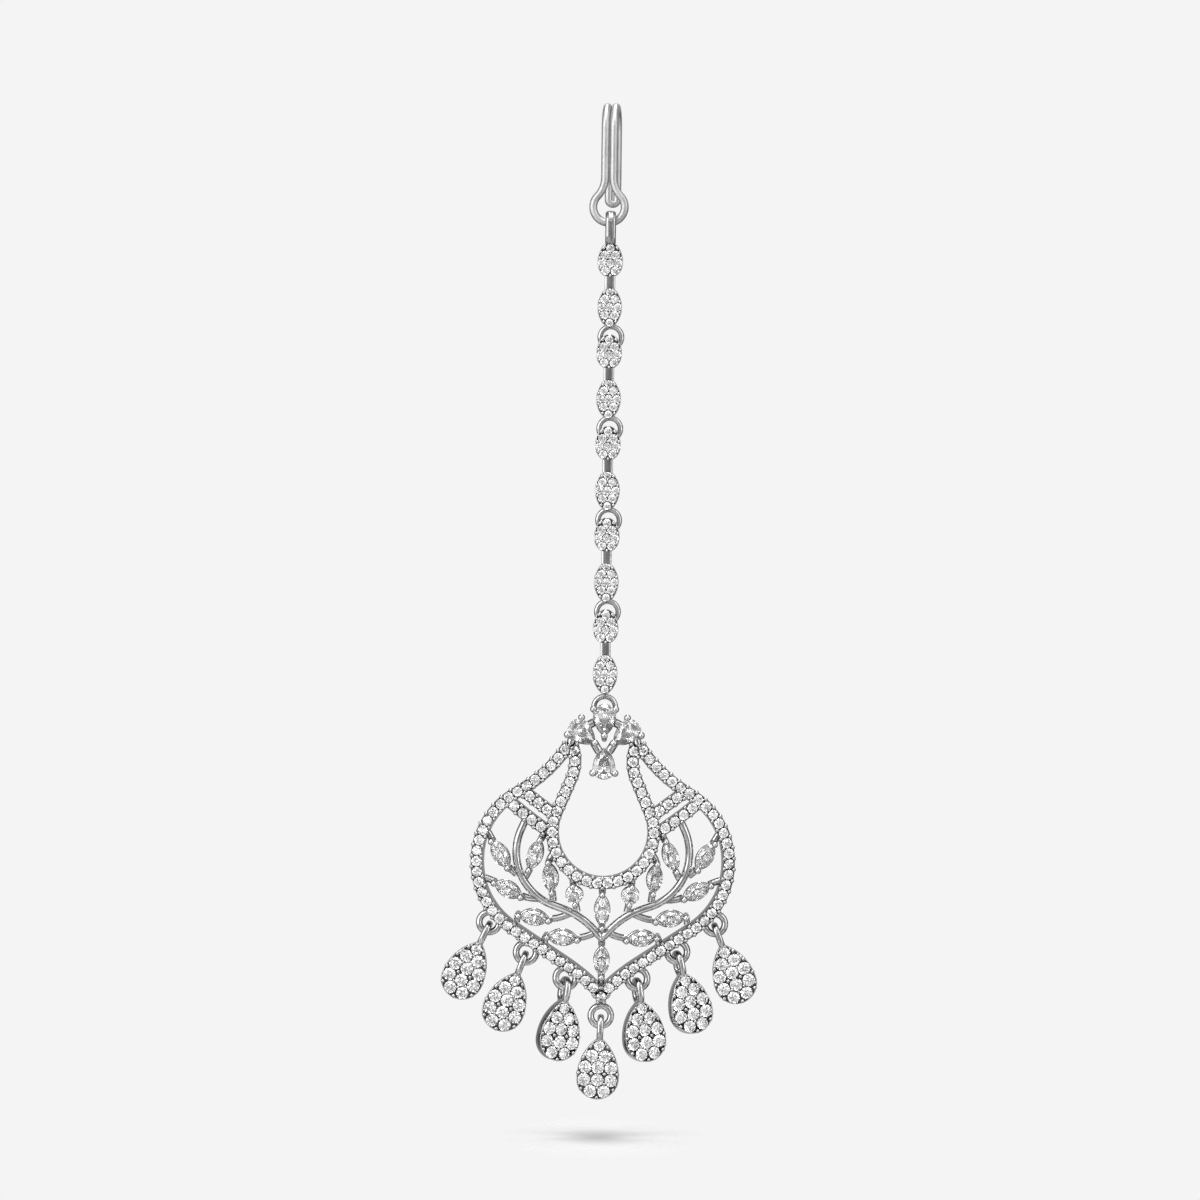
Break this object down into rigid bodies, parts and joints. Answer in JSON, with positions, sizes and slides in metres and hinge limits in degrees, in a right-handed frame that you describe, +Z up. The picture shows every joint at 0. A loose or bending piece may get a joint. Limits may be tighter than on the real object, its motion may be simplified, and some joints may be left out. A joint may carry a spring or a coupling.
{
  "type": "maang tikka",
  "caption": "Silver-toned maang tikka: a wire hair hook, a paved leaf chain and an openwork pear-topped pendant hung with teardrops.",
  "frame": {"origin": "inner top of the hook's bend, where it hangs on a lock of hair", "axes": "+Z up along the hanging chain, -Y out of the paved front, +X to the right of someone facing it"},
  "size_m": [0.0396, 0.0092, 0.1247],
  "materials": {
    "polished_metal": "rhodium-plated sterling silver, polished wire",
    "frame_metal": "rhodium-plated sterling silver, polished, paved bands",
    "link_pave": "rhodium-plated sterling silver, paved with clear stones",
    "drop_pave": "rhodium-plated sterling silver, paved with clear stones",
    "clear_stone": "cut clear cubic zirconia"
  },
  "bodies": {
    "hook_and_chain": {"chain_link_1": "link_pave", "chain_link_2": "link_pave", "chain_link_3": "link_pave", "chain_link_4": "link_pave", "chain_link_5": "link_pave", "hook": "polished_metal"},
    "pendant": {"drop_1": "drop_pave", "drop_2": "drop_pave", "drop_3": "drop_pave", "drop_4": "drop_pave", "drop_5": "drop_pave", "drop_6": "drop_pave", "drop_7": "drop_pave", "marquise_centre_lower": "clear_stone", "marquise_centre_upper": "clear_stone", "marquise_inner_lower_left": "clear_stone", "marquise_inner_lower_right": "clear_stone", "marquise_inner_middle_left": "clear_stone", "marquise_inner_middle_right": "clear_stone", "marquise_inner_upper_left": "clear_stone", "marquise_inner_upper_right": "clear_stone", "marquise_outer_lower_left": "clear_stone", "marquise_outer_lower_right": "clear_stone", "marquise_outer_middle_left": "clear_stone", "marquise_outer_middle_right": "clear_stone", "marquise_outer_upper_left": "clear_stone", "marquise_outer_upper_right": "clear_stone", "pear_bottom": "clear_stone", "pear_left": "clear_stone", "pear_right": "clear_stone", "pear_top": "clear_stone", "pendant_frame": "frame_metal", "round_accent_left": "clear_stone", "round_accent_right": "clear_stone"}
  },
  "joints": [
    {"name": "pendant_swing", "type": "hinge", "parent": "hook_and_chain", "child": "pendant", "pos_m": [0, -0.00192, -0.07595], "axis": [1, 0, 0], "range_deg": [-12, 60]}
  ]
}
